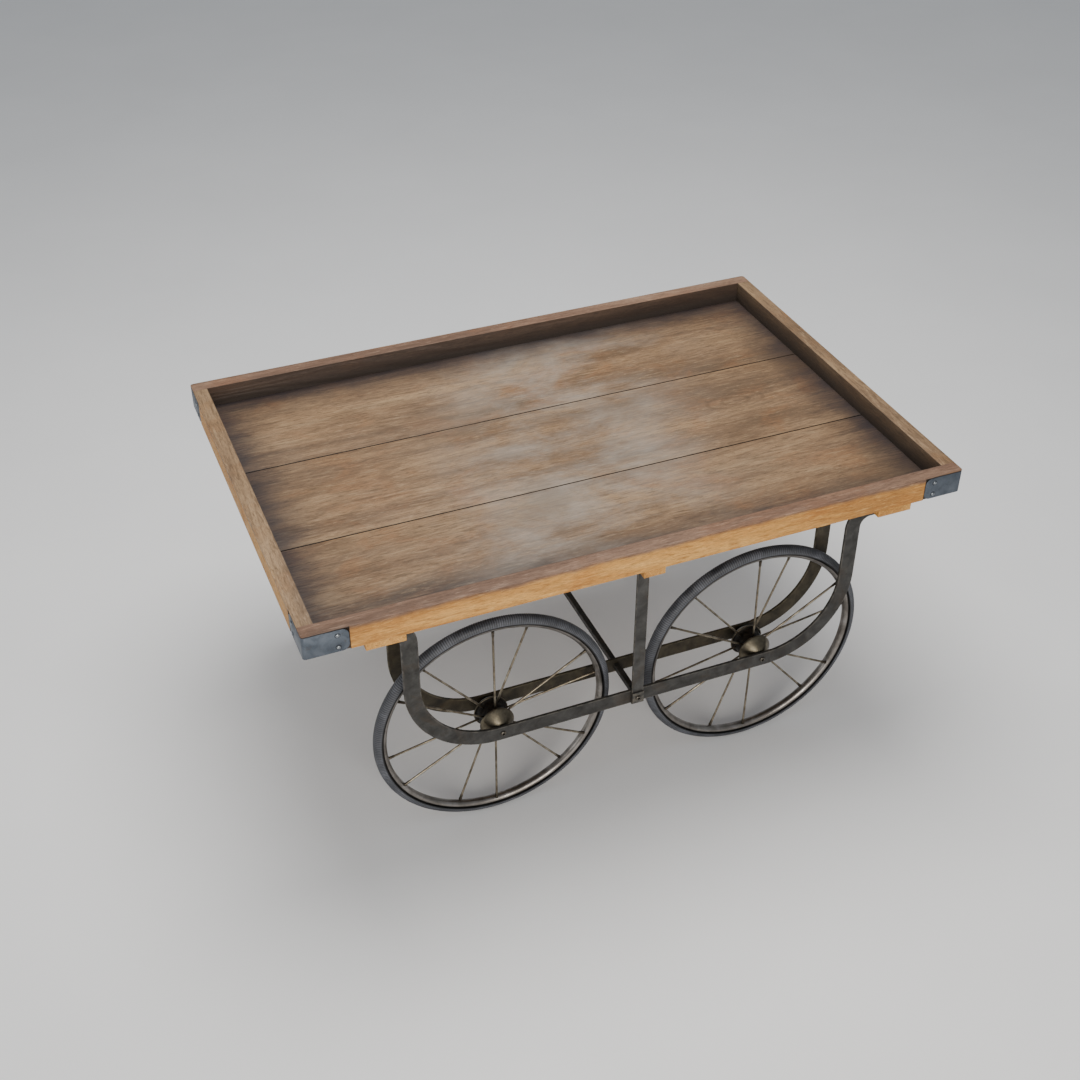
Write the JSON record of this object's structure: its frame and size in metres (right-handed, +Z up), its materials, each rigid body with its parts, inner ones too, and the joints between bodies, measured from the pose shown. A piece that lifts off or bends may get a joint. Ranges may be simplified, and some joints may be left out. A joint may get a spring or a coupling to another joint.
{
  "type": "four-wheeled hand cart",
  "caption": "Flat tray hand cart: a shallow plank tray with steel corner brackets on bent flat-bar frames and spoked wheels with rubber tyres.",
  "frame": {"origin": "on the ground under the middle of the tray", "axes": "+X towards the front end of the tray, +Y to the left, +Z up"},
  "size_m": [1.8064, 1.2204, 0.881],
  "materials": {
    "deck_wood": "worn oiled hardwood planks",
    "rim_wood": "worn oiled hardwood",
    "beam_wood": "oiled hardwood",
    "bracket_steel": "blued steel plate, satin",
    "screw_steel": "bright steel",
    "frame_steel": "dark paint, worn and rusty in places",
    "bolt_steel": "dark plated steel",
    "axle_steel": "turned steel",
    "tyre_rubber": "ribbed dark rubber",
    "wheel_rim_steel": "rolled steel, worn polish",
    "spoke_steel": "drawn steel, brassy tint",
    "hub_cap_steel": "spun steel, satin",
    "hub_iron": "dark cast iron",
    "bush_bronze": "turned bronze"
  },
  "bodies": {
    "cart_frame": {"angle_bolts": "bolt_steel", "axle_collars": "axle_steel", "axle_front_left": "axle_steel", "axle_front_right": "axle_steel", "axle_rear_left": "axle_steel", "axle_rear_right": "axle_steel", "axle_screws": "bolt_steel", "beam_screws": "screw_steel", "bracket_screws": "screw_steel", "corner_bracket_front_left": "bracket_steel", "corner_bracket_front_right": "bracket_steel", "corner_bracket_rear_left": "bracket_steel", "corner_bracket_rear_right": "bracket_steel", "cross_tie": "frame_steel", "crossbeam_front": "beam_wood", "crossbeam_middle": "beam_wood", "crossbeam_rear": "beam_wood", "deck_plank_left": "deck_wood", "deck_plank_middle": "deck_wood", "deck_plank_right": "deck_wood", "foot_screws": "screw_steel", "frame_angles": "frame_steel", "frame_bar_left_inner": "frame_steel", "frame_bar_left_outer": "frame_steel", "frame_bar_right_inner": "frame_steel", "frame_bar_right_outer": "frame_steel", "rim_board_front": "rim_wood", "rim_board_left": "rim_wood", "rim_board_rear": "rim_wood", "rim_board_right": "rim_wood", "strut_left": "frame_steel", "strut_plates": "frame_steel", "strut_right": "frame_steel", "tie_bolts": "bolt_steel"},
    "wheel_front_left": {"front_left_tyre": "tyre_rubber", "front_left_rim": "wheel_rim_steel", "front_left_spokes": "spoke_steel", "front_left_hub": "hub_iron", "front_left_hub_caps": "hub_cap_steel", "front_left_bushes": "bush_bronze"},
    "wheel_front_right": {"front_right_tyre": "tyre_rubber", "front_right_rim": "wheel_rim_steel", "front_right_spokes": "spoke_steel", "front_right_hub": "hub_iron", "front_right_hub_caps": "hub_cap_steel", "front_right_bushes": "bush_bronze"},
    "wheel_rear_left": {"rear_left_tyre": "tyre_rubber", "rear_left_rim": "wheel_rim_steel", "rear_left_spokes": "spoke_steel", "rear_left_hub": "hub_iron", "rear_left_hub_caps": "hub_cap_steel", "rear_left_bushes": "bush_bronze"},
    "wheel_rear_right": {"rear_right_tyre": "tyre_rubber", "rear_right_rim": "wheel_rim_steel", "rear_right_spokes": "spoke_steel", "rear_right_hub": "hub_iron", "rear_right_hub_caps": "hub_cap_steel", "rear_right_bushes": "bush_bronze"}
  },
  "joints": [
    {"name": "front_left_spin", "type": "hinge", "parent": "cart_frame", "child": "wheel_front_left", "pos_m": [0.387, 0.471, 0.3355], "axis": [0, 1, 0], "continuous": true},
    {"name": "front_right_spin", "type": "hinge", "parent": "cart_frame", "child": "wheel_front_right", "pos_m": [0.387, -0.471, 0.3355], "axis": [0, 1, 0], "continuous": true},
    {"name": "rear_left_spin", "type": "hinge", "parent": "cart_frame", "child": "wheel_rear_left", "pos_m": [-0.387, 0.471, 0.3355], "axis": [0, 1, 0], "continuous": true},
    {"name": "rear_right_spin", "type": "hinge", "parent": "cart_frame", "child": "wheel_rear_right", "pos_m": [-0.387, -0.471, 0.3355], "axis": [0, 1, 0], "continuous": true}
  ]
}
